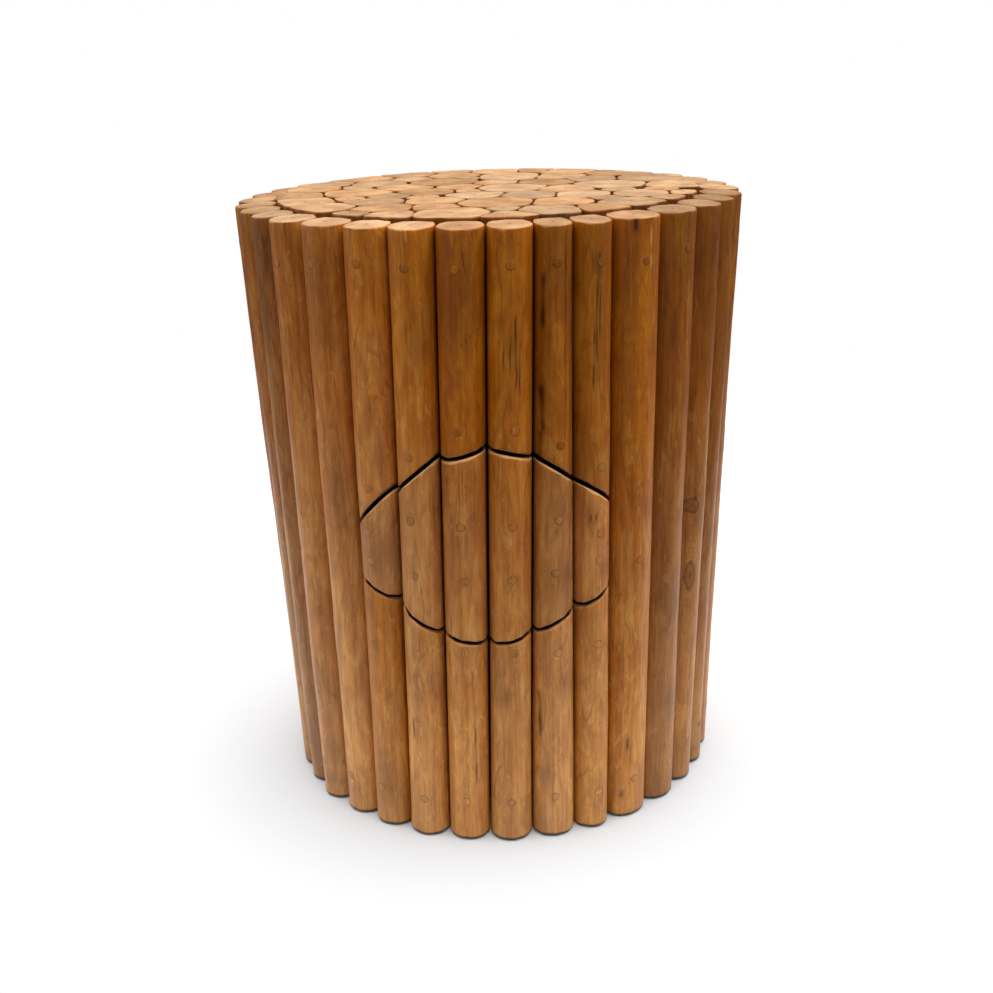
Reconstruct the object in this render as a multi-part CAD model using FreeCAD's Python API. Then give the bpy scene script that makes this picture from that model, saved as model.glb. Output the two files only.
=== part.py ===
import FreeCAD, Part
import math
import os
import random

# Drum table of peeled teak branches. Millimetres, +Z up, origin under the middle of the drum
# on the floor, front (the side with the oval medallion) towards -Y.
# Angles are in degrees round the drum, from the front towards +X.

# The drum
overall_height = 508.0
top_diameter = 418.0
foot_diameter = 379.0
slice_rise = 4.0

# The ring of branch staves
top_stave_depth = 31.5
foot_stave_depth = 29.0
stave_gap = 0.7
top_round = 1.2
foot_round = 3.6
seat_clearance = 0.3
back_flat_share = 0.75
depth_spread_share = 0.03
waist_spread_share = 0.05
swell_spread_share = 0.025
section_height_shares = (0.0, 0.34, 0.68, 1.0)

# Each column's place in the ring at the top and at the foot, as a share of an even division,
# first the six columns that the medallion crosses, then the rest round the back to the front
top_start_angle = -32.6
foot_start_angle = -38.2
medallion_column_shares = (
    (0.98, 1.03), (0.96, 1.04), (0.99, 1.03), (0.93, 1.06), (0.78, 1.08), (0.82, 0.92),
)
right_column_shares = ((1.16, 1.19), (1.15, 1.15), (0.96, 0.96), (0.96, 0.94), (1.01, 0.96))
back_column_shares = (
    (1.06, 1.02), (0.95, 0.97), (1.10, 1.04), (1.00, 0.93), (0.92, 0.95), (1.08, 1.05),
    (1.04, 0.96), (0.98, 1.01), (1.12, 1.00), (0.94, 0.92), (1.05, 1.06), (1.02, 0.95),
    (0.97, 1.02), (1.09, 0.99), (1.03, 1.00), (0.99, 0.94), (1.07, 1.01),
)
left_column_shares = ((0.96, 0.92), (0.96, 0.92), (0.87, 0.92), (1.01, 1.01), (1.09, 1.05))

# The medallion: saw kerfs across six columns, given at the grooves beside the columns
medallion_height = 260.0
medallion_half_height = 80.0
saw_kerf = 3.2
kerf_round = 1.6
upper_cut_shares = (0.16, 0.56, 0.90, 1.00, 0.90, 0.62, 0.36)
lower_cut_shares = (-0.37, -0.62, -0.92, -1.00, -0.91, -0.70, -0.47)
upper_bulge_shares = (0.00, 0.02, 0.00, 0.06, 0.08, 0.06)
lower_bulge_shares = (0.06, 0.00, 0.00, 0.00, 0.03, 0.00)

# The inner frame
slice_thickness = 10.0
slice_board_thickness = 12.0
top_former_thickness = 20.0
foot_former_thickness = 24.0
foot_recess = 25.0
backing_thickness = 18.0
backing_foot = 156.0
backing_top = 370.0
backing_start_angle = -42.0
backing_end_angle = 39.0
post_width = 28.0
post_inset_angle = 6.0
rear_post_angles = (140.0, 220.0)

# Screws, and the plugs over the screws that hold the staves
plug_diameter = 6.5
plug_clearance = 0.05
screw_head_diameter = 6.0
screw_head_height = 2.6
screw_shank_diameter = 3.5
screw_point_length = 5.0
screw_clearance = 0.15
stave_screw_length = 40.0
stave_screw_bite = 16.0
post_screw_length = 50.0
short_screw_length = 28.0
board_screw_count = 6
board_screw_inset = 30.0
backing_screw_inset = 30.0
screw_height_scatter = 3.0
screw_side_scatter = 2.0
medallion_upper_screw_rise = 23.0
medallion_lower_screw_drop = 23.0
medallion_end_screw_rise = 8.0
medallion_end_screw_drop = 12.0
arch_screw_margin = 19.0
sill_screw_drop = 88.0

# The paving of cross-cut slices on top
large_slice_radius = 29.0
medium_slice_radius = 22.5
small_slice_radius = 16.5
chip_radius = 10.0
slice_gap = 1.3
slice_edge_round = 1.4
paving_clearance = 1.0
slice_tries = 4000
slice_limits = (8, 28, 26, 12)
slice_packing_share = 0.86
slice_reach_share = 1.5
settling_rounds = 8
corner_sharpness = 11.0
outline_points = 30
rim_facet_share = 0.5

variation_seed = 7
overrun = 60.0

column_shares = medallion_column_shares + right_column_shares + back_column_shares + left_column_shares
medallion_columns = len(medallion_column_shares)
column_count = len(column_shares)
stave_height = overall_height - slice_rise
top_back_radius = top_diameter / 2 - top_stave_depth
foot_back_radius = foot_diameter / 2 - foot_stave_depth
lean = math.degrees(math.atan2(top_back_radius - foot_back_radius, stave_height))
slice_seat = overall_height - slice_thickness
former_top = slice_seat - slice_board_thickness
former_underside = former_top - top_former_thickness
foot_former_top = foot_recess + foot_former_thickness
paving_radius = top_back_radius - paving_clearance

up = FreeCAD.Vector(0, 0, 1)
origin = FreeCAD.Vector(0, 0, 0)
variation = random.Random(variation_seed)


def mix(start, end, share):
    return start + (end - start) * share


def outward(angle):
    """Level direction away from the drum's axis."""
    turn = math.radians(angle)
    return FreeCAD.Vector(math.sin(turn), -math.cos(turn), 0)


def place(angle, radius, height):
    return outward(angle) * radius + up * height


def back_radius(height):
    """Radius of the cone on which the flat backs of the staves sit."""
    return mix(foot_back_radius, top_back_radius, height / stave_height)


def groove_angles(start_angle, end):
    """Angles of the grooves between columns at one end of the ring."""
    total = sum(shares[end] for shares in column_shares)
    angles = [start_angle]
    for shares in column_shares:
        angles.append(angles[-1] + 360.0 * shares[end] / total)
    return angles


top_grooves = groove_angles(top_start_angle, 0)
foot_grooves = groove_angles(foot_start_angle, 1)


def groove_angle(groove, height):
    return mix(foot_grooves[groove], top_grooves[groove], height / stave_height)


def centre_angle(column, height):
    return (groove_angle(column, height) + groove_angle(column + 1, height)) / 2


def spread(limit):
    return variation.uniform(-limit, limit)


class Stave:
    """One branch: its place in the ring and how its girth wanders from foot to top."""

    def __init__(self, column):
        self.column = column
        base = 1 + spread(depth_spread_share)
        self.depth_shares = []
        self.waist_shares = []
        for share in section_height_shares:
            self.depth_shares.append(base + spread(swell_spread_share))
            at_end = share in (section_height_shares[0], section_height_shares[-1])
            self.waist_shares.append(1 if at_end else 1 - abs(spread(waist_spread_share)))

    def depth(self, step):
        full = mix(foot_stave_depth, top_stave_depth, section_height_shares[step])
        return full * self.depth_shares[step]

    def section(self, step):
        """Oval with a flat back that just clears the grooves on both sides."""
        height = stave_height * section_height_shares[step]
        half_depth = self.depth(step) / (1 + back_flat_share)
        middle = back_radius(height) + half_depth * back_flat_share
        opening = groove_angle(self.column + 1, height) - groove_angle(self.column, height)
        half_turn = math.radians(opening / 2)
        reach = middle * math.sin(half_turn) - stave_gap / 2
        lean_in = half_depth * math.sin(half_turn)
        half_width = math.sqrt(reach ** 2 - lean_in ** 2) / math.cos(half_turn) * self.waist_shares[step]
        arc_end = math.degrees(math.acos(-back_flat_share))
        arc = Part.makeCircle(1, origin, up, -arc_end, arc_end)
        flat = Part.makeLine(arc.lastVertex().Point, arc.firstVertex().Point)
        out = outward(centre_angle(self.column, height))
        side = up.cross(out)
        centre = out * middle + up * height
        matrix = FreeCAD.Matrix(
            out.x * half_depth, side.x * half_width, 0, centre.x,
            out.y * half_depth, side.y * half_width, 0, centre.y,
            0, 0, 1, centre.z,
            0, 0, 0, 1,
        )
        return Part.Wire([arc, flat]).transformGeometry(matrix)

    def blank(self):
        """The whole branch with its ends rounded over."""
        sections = [self.section(step) for step in range(len(section_height_shares))]
        solid = Part.makeLoft(sections, True, False)
        level = [e for e in solid.Edges if e.BoundBox.ZLength < foot_round]
        foot = [e for e in level if e.CenterOfMass.z < stave_height / 2]
        top = [e for e in level if e.CenterOfMass.z > stave_height / 2]
        return solid.makeFillet(foot_round, foot).makeFillet(top_round, top)


def cut_height(cut_shares, groove):
    return medallion_height + medallion_half_height * cut_shares[groove]


def above_cut(column, cut_shares, bulge_shares, side):
    """Everything above one side of a saw cut between a column's grooves, level from front to back."""
    left_height = cut_height(cut_shares, column)
    right_height = cut_height(cut_shares, column + 1)
    middle_height = (left_height + right_height) / 2
    left = groove_angle(column, middle_height)
    right = groove_angle(column + 1, middle_height)
    radius = back_radius(middle_height)
    out = outward((left + right) / 2)
    along = up.cross(out)
    width = 2 * radius * math.sin(math.radians(right - left) / 2)
    bulge = width * bulge_shares[column]
    slope = (right_height - left_height) / width
    offset = side * saw_kerf / 2 * math.hypot(1, slope)
    line = []
    for share in (-1, 0, 1):
        rise = (right_height - left_height) * share + bulge * (1 - (share * 2) ** 2)
        line.append(along * width * share + up * (middle_height + rise + offset))
    sky = [line[2] + up * overall_height, line[0] + up * overall_height]
    cut = Part.Arc(*line).toShape() if bulge else Part.makeLine(line[0], line[2])
    rest = Part.makePolygon([line[2]] + sky + [line[0]])
    profile = Part.Face(Part.Wire([cut] + rest.Edges))
    return profile.extrude(out * top_diameter)


def soften_cuts(piece):
    """Round the arris that the saw left round the front of each cut end of a piece."""
    edges = []
    for face in piece.Faces:
        box = face.BoundBox
        at_stave_end = box.ZMin < foot_round or box.ZMax > stave_height - foot_round
        if not at_stave_end and box.ZLength < medallion_half_height:
            edges.append(max(face.Edges, key=lambda edge: edge.Length))
    return piece.makeFillet(kerf_round, edges)


def revolved(points):
    profile = Part.Face(Part.makePolygon(points + points[:1]))
    return profile.revolve(origin, up, 360)


def screw(length, extra):
    """Countersunk screw from its head at the origin along +Z, fattened by extra for its hole."""
    head = screw_head_diameter / 2 + extra
    shank = screw_shank_diameter / 2 + extra
    end = length + extra
    return revolved([
        FreeCAD.Vector(0, 0, -extra),
        FreeCAD.Vector(head, 0, -extra),
        FreeCAD.Vector(head, 0, 0),
        FreeCAD.Vector(shank, 0, screw_head_height),
        FreeCAD.Vector(shank, 0, end - screw_point_length),
        FreeCAD.Vector(0, 0, end),
    ])


def driven(tool, start, direction):
    """A screw or plug set at a point and pointing along a direction."""
    tool = tool.copy()
    tool.Placement = FreeCAD.Placement(start, FreeCAD.Rotation(up, direction))
    return tool


def stave_fastening(angle, height):
    """Screw, plug blank and the hole for both, driven level through a stave towards the axis."""
    inward = outward(angle) * -1
    head = place(angle, back_radius(height) - stave_screw_bite + stave_screw_length, height)
    plug_hole = Part.makeCylinder(plug_diameter / 2 + plug_clearance, overrun)
    plug_blank = Part.makeCylinder(plug_diameter / 2, overrun)
    return (
        driven(screw(stave_screw_length, 0), head, inward),
        driven(plug_blank, head, inward * -1),
        driven(screw(stave_screw_length, screw_clearance), head, inward),
        driven(plug_hole, head, inward * -1),
    )


def stave_screw_heights(column):
    """Screw heights of a column, bottom to top, in one list for each of its pieces."""
    foot_row = foot_recess + foot_former_thickness / 2
    top_row = former_underside + top_former_thickness / 2
    if column >= medallion_columns:
        beside_medallion = [medallion_height - medallion_lower_screw_drop]
        return [[foot_row] + beside_medallion * (column == medallion_columns) + [top_row]]
    at_end = column in (0, medallion_columns - 1)
    rise = medallion_end_screw_rise if at_end else medallion_upper_screw_rise
    drop = medallion_end_screw_drop if at_end else medallion_lower_screw_drop
    arch = (cut_height(upper_cut_shares, column) + cut_height(upper_cut_shares, column + 1)) / 2
    return [
        [foot_row, medallion_height - sill_screw_drop],
        [medallion_height - drop, medallion_height + rise],
        [arch + arch_screw_margin, top_row],
    ]


stave_screws = []
stave_plugs = []
screw_holes = []
nodes = {}


def fasten(piece, column, heights):
    """Drill a stave piece, and keep its screws, its flush plugs and the holes."""
    holes = []
    for level in heights:
        height = level + spread(screw_height_scatter)
        side = math.degrees(spread(screw_side_scatter) / back_radius(height))
        parts = stave_fastening(centre_angle(column, height) + side, height)
        stave_screws.append(parts[0])
        stave_plugs.append(piece.common(parts[1]).Solids[0])
        screw_holes.append(parts[2])
        holes += parts[2:]
    return piece.cut(Part.makeCompound(holes))


def make_staves():
    for column in range(column_count):
        stave = Stave(column)
        blank = stave.blank()
        heights = stave_screw_heights(column)
        if column >= medallion_columns:
            name = "stave_%02d" % (column - medallion_columns + 1)
            nodes[name] = fasten(blank, column, heights[0])
            continue
        over_upper = above_cut(column, upper_cut_shares, upper_bulge_shares, 1)
        from_upper = above_cut(column, upper_cut_shares, upper_bulge_shares, -1)
        over_lower = above_cut(column, lower_cut_shares, lower_bulge_shares, 1)
        from_lower = above_cut(column, lower_cut_shares, lower_bulge_shares, -1)
        pieces = (
            ("lower_stave", blank.cut(from_lower)),
            ("medallion_stave", blank.common(over_lower).cut(from_upper)),
            ("upper_stave", blank.common(over_upper)),
        )
        for (kind, piece), levels in zip(pieces, heights):
            nodes["%s_%d" % (kind, column + 1)] = fasten(soften_cuts(piece), column, levels)


def former(foot, thickness):
    """Round board whose edge follows the lean of the staves."""
    low = back_radius(foot) - seat_clearance
    high = back_radius(foot + thickness) - seat_clearance
    return Part.makeCone(low, high, thickness, up * foot)


def backing():
    """Bent panel behind the medallion, against the flat backs of the staves."""
    outer_foot = back_radius(backing_foot) - seat_clearance
    outer_top = back_radius(backing_top) - seat_clearance
    corners = [
        place(backing_start_angle, outer_foot - backing_thickness, backing_foot),
        place(backing_start_angle, outer_foot, backing_foot),
        place(backing_start_angle, outer_top, backing_top),
        place(backing_start_angle, outer_top - backing_thickness, backing_top),
    ]
    profile = Part.Face(Part.makePolygon(corners + corners[:1]))
    return profile.revolve(origin, up, backing_end_angle - backing_start_angle)


def post_face_radius(height):
    """Radius of the middle of a post's outer face, whose two edges just clear the panel's hollow."""
    hollow = back_radius(height) - seat_clearance * 2 - backing_thickness
    return math.sqrt(hollow ** 2 - (post_width / 2) ** 2)


def post(angle):
    """Square post between the two formers, leaning as the staves do."""
    height = former_underside - foot_former_top
    bar = Part.makeBox(post_width, post_width, overall_height * 2)
    bar.translate(FreeCAD.Vector(-post_width, -post_width / 2, -overall_height))
    bar.rotate(origin, FreeCAD.Vector(0, 1, 0), lean)
    bar.translate(FreeCAD.Vector(post_face_radius(foot_former_top), 0, foot_former_top))
    bar.rotate(origin, up, angle - 90)
    slab = Part.makeBox(top_diameter, top_diameter, height)
    slab.translate(FreeCAD.Vector(-top_diameter / 2, -top_diameter / 2, foot_former_top))
    return bar.common(slab)


def drilled(piece, holes):
    return piece.cut(Part.makeCompound(holes))


def make_frame():
    front_post_angles = (backing_start_angle + post_inset_angle, backing_end_angle - post_inset_angle)
    posts = {"front_posts": front_post_angles, "rear_posts": rear_post_angles}

    post_screws = []
    post_holes = []
    long_screw = screw(post_screw_length, 0)
    long_hole = screw(post_screw_length, screw_clearance)
    for angle in front_post_angles + rear_post_angles:
        for height, heading in ((foot_recess, up), (former_top, up * -1)):
            start = place(angle, post_face_radius(height) - post_width / 2, height)
            post_screws.append(driven(long_screw, start, heading))
            post_holes.append(driven(long_hole, start, heading))

    short_screw = screw(short_screw_length, 0)
    short_hole = screw(short_screw_length, screw_clearance)
    backing_screws = []
    backing_holes = []
    for angle in front_post_angles:
        for height in (backing_foot + backing_screw_inset, backing_top - backing_screw_inset):
            start = place(angle, back_radius(height) - seat_clearance, height)
            inward = outward(angle) * -1
            backing_screws.append(driven(short_screw, start, inward))
            backing_holes.append(driven(short_hole, start, inward))

    board_screws = []
    board_holes = []
    for step in range(board_screw_count):
        start = place(360.0 * step / board_screw_count, paving_radius - board_screw_inset, slice_seat)
        board_screws.append(driven(short_screw, start, up * -1))
        board_holes.append(driven(short_hole, start, up * -1))

    nodes["foot_former"] = drilled(former(foot_recess, foot_former_thickness), screw_holes + post_holes)
    nodes["top_former"] = drilled(
        former(former_underside, top_former_thickness), screw_holes + post_holes + board_holes)
    nodes["slice_board"] = drilled(former(former_top, slice_board_thickness), board_holes)
    nodes["medallion_backing"] = drilled(backing(), screw_holes + backing_holes)
    for name, angles in posts.items():
        solids = [drilled(post(angle), post_holes + backing_holes) for angle in angles]
        nodes[name] = Part.makeCompound(solids)
    nodes["post_screws"] = Part.makeCompound(post_screws)
    nodes["backing_screws"] = Part.makeCompound(backing_screws)
    nodes["board_screws"] = Part.makeCompound(board_screws)


def thrown_slices():
    """Centres and radii of the slices, thrown down largest first wherever they still fit."""
    seeds = []
    sizes = (large_slice_radius, medium_slice_radius, small_slice_radius, chip_radius)
    for size, limit in zip(sizes, slice_limits):
        placed = 0
        for attempt in range(slice_tries):
            distance = (paving_radius - size * slice_packing_share) * math.sqrt(variation.random())
            spot = place(variation.uniform(0, 360), distance, 0)
            fits = all(
                (spot - other).Length > (size + other_size) * slice_packing_share
                for other, other_size in seeds
            )
            if fits and placed < limit:
                seeds.append((spot, size))
                placed += 1
    return seeds


def slice_walls(seed, seeds):
    """Directions and distances from a slice's centre to its neighbours' walls and the rim."""
    spot, size = seed
    walls = []
    for other, other_size in seeds:
        apart = (other - spot).Length
        if 0 < apart < (size + other_size) * slice_reach_share:
            distance = (apart ** 2 + size ** 2 - other_size ** 2) / (2 * apart) - slice_gap / 2
            walls.append(((other - spot) / apart, distance))
    facet = math.degrees(math.asin(rim_facet_share * size / paving_radius))
    rim_angle = math.degrees(math.atan2(spot.x, -spot.y))
    for turn in (-facet, 0, facet):
        out = outward(rim_angle + turn)
        walls.append((out, paving_radius - spot.dot(out)))
    return walls


def slice_points(seed, walls, inset):
    """Points round the space between the walls, with the corners rounded off."""
    spot, size = seed
    points = []
    for step in range(outline_points):
        direction = outward(360.0 * step / outline_points)
        closeness = (1 / (size * slice_reach_share - inset)) ** corner_sharpness
        for wall, distance in walls:
            facing = max(0.0, wall.dot(direction))
            closeness += (facing / (distance - inset)) ** corner_sharpness
        points.append(spot + direction * closeness ** (-1 / corner_sharpness))
    return points


def settled_slices():
    """Slices moved to the middle of the space that each one has, a few times over."""
    seeds = thrown_slices()
    for turn in range(settling_rounds):
        moved = []
        for seed in seeds:
            outline = Part.makePolygon(slice_points(seed, slice_walls(seed, seeds), 0))
            moved.append((outline.CenterOfMass, seed[1]))
        seeds = moved
    return seeds


def slice_outline(points, height):
    curve = Part.BSplineCurve()
    curve.interpolate([point + up * height for point in points], True)
    return Part.Wire(curve.toShape())


def make_slices():
    seeds = settled_slices()
    groups = {"rim_slices": [], "large_slices": [], "small_slices": []}
    for seed in seeds:
        spot, size = seed
        walls = slice_walls(seed, seeds)
        edge = slice_points(seed, walls, 0)
        worn_edge = slice_points(seed, walls, slice_edge_round)
        solid = Part.makeLoft([
            slice_outline(edge, slice_seat),
            slice_outline(edge, overall_height - slice_edge_round),
            slice_outline(worn_edge, overall_height),
        ], True, True)
        at_rim = spot.Length + size * slice_reach_share > paving_radius
        kind = "large_slices" if size > small_slice_radius else "small_slices"
        groups["rim_slices" if at_rim else kind].append(solid)
    for name, solids in groups.items():
        nodes[name] = Part.makeCompound(solids)


make_staves()
make_frame()
make_slices()
nodes["stave_screws"] = Part.makeCompound(stave_screws)
nodes["stave_plugs"] = Part.makeCompound(stave_plugs)

os.makedirs("parts", exist_ok=True)
for name, shape in nodes.items():
    shape.exportStep("parts/%s.step" % name)
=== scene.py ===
import math
import random

import bmesh
import bpy
import numpy as np
from mathutils import Matrix, Vector
from mathutils.bvhtree import BVHTree


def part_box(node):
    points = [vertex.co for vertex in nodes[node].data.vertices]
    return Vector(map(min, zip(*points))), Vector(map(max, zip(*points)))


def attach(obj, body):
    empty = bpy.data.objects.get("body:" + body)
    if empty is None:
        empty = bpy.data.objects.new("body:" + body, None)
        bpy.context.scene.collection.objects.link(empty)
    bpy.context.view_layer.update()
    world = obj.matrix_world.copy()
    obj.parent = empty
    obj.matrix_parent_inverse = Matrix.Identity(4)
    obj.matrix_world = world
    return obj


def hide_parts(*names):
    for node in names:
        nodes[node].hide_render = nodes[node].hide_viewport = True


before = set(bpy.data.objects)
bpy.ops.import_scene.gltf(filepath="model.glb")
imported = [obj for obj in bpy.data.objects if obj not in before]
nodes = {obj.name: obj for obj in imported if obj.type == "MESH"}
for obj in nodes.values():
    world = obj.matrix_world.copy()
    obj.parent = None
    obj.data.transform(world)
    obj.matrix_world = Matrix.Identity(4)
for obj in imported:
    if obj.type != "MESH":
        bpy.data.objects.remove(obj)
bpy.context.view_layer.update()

MM = 0.001

# Meshes of the branches and slices: points round them, closer together outwards, and rounds of fitting
around = 84
slice_around = 56
front_crowding = 0.45
round_steps = 4
cap_rings = 8
fit_degree = 3
centring_rounds = 3
end_rounds = 4

# Sizes of the branches and slices, in metres
row_step = 3.0 * MM
slice_row_step = 2.0 * MM
foot_round = 3.0 * MM
foot_fade = 1.2 * MM
top_round = 1.2 * MM
cut_round = 1.8 * MM
slice_round = 1.3 * MM
slice_foot_round = 0.3 * MM
slice_foot_band = 1.0 * MM
branch_swell = 1.6 * MM
branch_flute = 0.7 * MM
weld_distance = 0.01 * MM

# Sawn ends: their slope, how sharp the change to end grain is, and how the sanded edge's width varies
end_slope = 0.055
sawn_edge_power = 6
sanded_edge_power = 2
edge_waves = ((2, 0.2), (3, 0.2), (5, 0.25), (9, 0.2))
calm_edge_share = 0.25
cut_ray_start = 0.2
cut_ray_inset = 0.3
cut_ray_shares = np.linspace(-0.8, 0.8, 9)

# How dark the painted shade is in the kerfs, at the feet and on the slice walls, and how strong the painted
# highlight on the medallion's upper edges
kerf_shading = 5.0
kerf_rim_shade = 0.55
foot_shade_darkness = 0.95
slice_wall_shade = 0.62
arris_highlight_share = 0.8

# Plugs, and the rays that lay them on the wood, in metres
plug_radius = 3.5 * MM
plug_depth = 4.0 * MM
plug_crown = 0.12 * MM
plug_proud = 0.06 * MM
plug_ray_start = 20.0 * MM
plug_ray_length = 45.0 * MM
plug_sides = 28
plug_face_rings = 5

# Heights at which no screw hole crosses a branch
full_heights = [h * MM for h in (8, 110, 200, 300, 400, 496)]
lower_heights = [h * MM for h in (8, 100, 150)]
medallion_heights = [h * MM for h in (258,)]
upper_heights = [h * MM for h in (390, 440, 496)]
stave_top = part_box("stave_01")[1].z

rng = random.Random(21)
seed_range = 40

# Relief of knots, in shares of their half width, and the distance that stands for no knot near
far_knot = 9.0
knot_rise = 0.12
knot_rise_reach = 1.6
knot_dimple = 0.10
knot_dimple_reach = 0.5

# Course of seams and scratches in millimetres, how strong they are and how deep for their width
seam_wander = 0.3
seam_wander_length = 11.0
seam_shake = 0.15
seam_shake_length = 3.7
seam_taper = 5.0
seam_strength = 0.75
seam_beat = 0.25
seam_beat_length = 5.3
seam_depth_share = 0.55

# How light and how red each branch in sight is, from -1 to 1: partly the branch's own tone, partly painted
# light and shade, darker on the branches towards the sides
piece_tones_and_shade = {
    "upper_stave_1": (0.36, -0.1), "upper_stave_2": (0.25, 0.0), "upper_stave_3": (-0.12, 0.3),
    "upper_stave_4": (0.08, 0.1), "upper_stave_5": (-0.33, 0.25), "upper_stave_6": (-0.2, 0.1),
    "medallion_stave_1": (0.28, -0.25), "medallion_stave_2": (0.3, -0.2), "medallion_stave_3": (0.1, 0.0),
    "medallion_stave_4": (0.06, 0.1), "medallion_stave_5": (-0.1, -0.1), "medallion_stave_6": (0.28, -0.1),
    "lower_stave_1": (-0.05, 0.2), "lower_stave_2": (0.15, -0.1), "lower_stave_3": (0.2, 0.0),
    "lower_stave_4": (0.0, -0.05), "lower_stave_5": (0.14, -0.15), "lower_stave_6": (0.05, 0.0),
    "stave_01": (-0.12, 0.2), "stave_02": (-0.65, 0.15), "stave_03": (-0.58, 0.1), "stave_04": (-0.85, 0.2),
    "stave_05": (-0.7, 0.2), "stave_23": (-0.4, 0.0), "stave_24": (-0.45, -0.1), "stave_25": (-0.5, -0.25),
    "stave_26": (0.12, -0.2), "stave_27": (0.22, -0.15),
}

# Knots as places across and up the branch, a half width and a half length
piece_knots = {
    "stave_03": ((-11, 262, 4.5, 6.5), (-10, 199, 3.2, 14)),
    "medallion_stave_6": ((7.9, 257, 1.8, 2.4),),
}
# Bark seams as a place across the branch, the heights between which they run, a half width and a lean
piece_seams = {
    "upper_stave_1": ((-7, 412, 436, 0.35, 7), (0, 412, 428, 0.35, -5), (-4, 452, 474, 0.35, 4)),
    "upper_stave_3": ((-2, 417, 430, 0.4, -13), (-2, 417, 432, 0.4, 14), (6, 470, 496, 0.4, -4)),
    "upper_stave_4": ((3, 385, 445, 0.6), (-1, 395, 430, 0.5), (6, 380, 425, 0.5), (-6, 402, 428, 0.5)),
    "upper_stave_5": (
        (-10.5, 428, 472, 1.3), (-11.5, 350, 390, 1.4), (-12.5, 330, 356, 1.2), (5, 345, 502, 0.6)),
    "upper_stave_6": ((-3, 400, 470, 0.6), (-1, 420, 485, 0.5), (-5, 380, 430, 0.5)),
    "medallion_stave_3": ((-11, 312, 322, 0.7), (10.8, 315, 325, 0.7)),
    "medallion_stave_5": ((-1.6, 268, 278, 1.4),),
    "medallion_stave_6": ((-7, 275, 285, 0.9), (-4, 276, 286, 0.8, 1)),
    "lower_stave_3": ((8.4, 52, 128, 0.7),),
    "lower_stave_5": ((-13.6, 88, 138, 1.0),),
    "stave_01": ((-9.6, 492, 512, 1.5), (-9, 64, 80, 1.2), (-13, 17, 29, 1.6), (-12, 98, 110, 0.9, 3)),
    "lower_stave_2": ((-6, 90, 112, 0.8),),
}
# Bright scratches, given like the seams
piece_scratches = {
    "stave_01": ((3.2, 481, 500, 0.7), (2.7, 464, 480, 0.8), (-4.7, 468, 480, 0.7)),
    "upper_stave_2": ((2.0, 494, 508, 0.7),),
    "upper_stave_3": ((-3.8, 489, 506, 0.7),),
}
# Darker stains as places across and up the branch, a half width and a half length; the long narrow one at
# stave_02's edge is painted shade in the recess beside its neighbour
piece_stains_and_shade = {
    "lower_stave_1": ((4, 40, 12, 30),),
    "lower_stave_4": ((-5, 135, 6, 9),),
    "lower_stave_5": ((-10, 60, 6, 9), (7, 140, 8, 14)),
    "upper_stave_2": ((5, 420, 9, 26),),
    "upper_stave_3": ((2, 450, 13, 36),),
    "upper_stave_4": ((2, 417, 9, 22), (-9, 437, 5, 6)),
    "upper_stave_5": ((11, 425, 5, 95), (-10, 400, 4, 60)),
    "upper_stave_6": ((0, 440, 6, 60),),
    "medallion_stave_5": ((0, 290, 8, 16), (6, 235, 7, 12)),
    "medallion_stave_1": ((6, 250, 8, 18),),
    "medallion_stave_6": ((6, 238, 6, 8), (-8, 285, 5, 12)),
    "stave_01": ((-14, 420, 5, 80),),
    # stave_02's last mark is painted shade in the recess between it and its neighbour, not a stain
    "stave_02": ((0, 90, 14, 24), (0, 190, 12, 24), (-18, 400, 5, 100)),
    "stave_03": ((0, 450, 16, 70),),
    "stave_26": ((10, 95, 16, 30), (14, 50, 14, 22), (10, 20, 12, 12)),
    "stave_27": ((0, 450, 18, 55), (8, 300, 8, 40)),
    "stave_25": ((0, 130, 14, 30), (0, 440, 12, 60), (6, 50, 16, 40)),
}
# Marks drawn for the branches out of sight: how many, where across and how large, between two amounts each
drawn_knots = {"count": (0, 3), "across": (-13, 13), "half_width": (1.2, 3.5), "stretch": (1.3, 3.0)}
drawn_seams = {"count": (0, 1), "across": (-14, 14), "length": (20, 70), "half_width": (0.8, 1.4)}
drawn_stains = {"count": (0, 2), "across": (-10, 10), "half_width": (6, 14), "stretch": (1.5, 4)}
# Tones drawn for these branches and for the slices, and by what a plug's seed and tone leave its branch's
drawn_tone = (-0.3, 0.15), (-0.3, 0.3)
slice_tone = (-0.5, 0.15), (-0.4, 0.4)
plug_change = (0, 1), (-0.25, 0.0), (-0.22, 0.08)


def draw(ranges):
    """One random value from each range, in their order."""
    return [rng.uniform(*ends) for ends in ranges]


def node_triangles(name):
    """Corners of a node's triangles, as an array of triangle, corner, axis."""
    mesh = nodes[name].data
    mesh.calc_loop_triangles()
    spots = np.empty(len(mesh.vertices) * 3)
    mesh.vertices.foreach_get("co", spots)
    corners = np.empty(len(mesh.loop_triangles) * 3, int)
    mesh.loop_triangles.foreach_get("vertices", corners)
    return spots.reshape(-1, 3)[corners].reshape(-1, 3, 3)


def level_cut(triangles, height):
    """Points where a level plane crosses the triangles' edges."""
    rise = triangles[:, :, 2] - height
    found = []
    for start, end in ((0, 1), (1, 2), (2, 0)):
        crossing = rise[:, start] * rise[:, end] < 0
        share = rise[crossing, start] / (rise[crossing, start] - rise[crossing, end])
        step = triangles[crossing, end] - triangles[crossing, start]
        found.append(triangles[crossing, start] + step * share[:, None])
    return np.concatenate(found)[:, :2]


def spread_turns(count):
    """Turns round a branch from its outward side, closer together at the front."""
    even = np.linspace(-math.pi, math.pi, count, endpoint=False)
    return even - front_crowding * np.sin(even)


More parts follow.
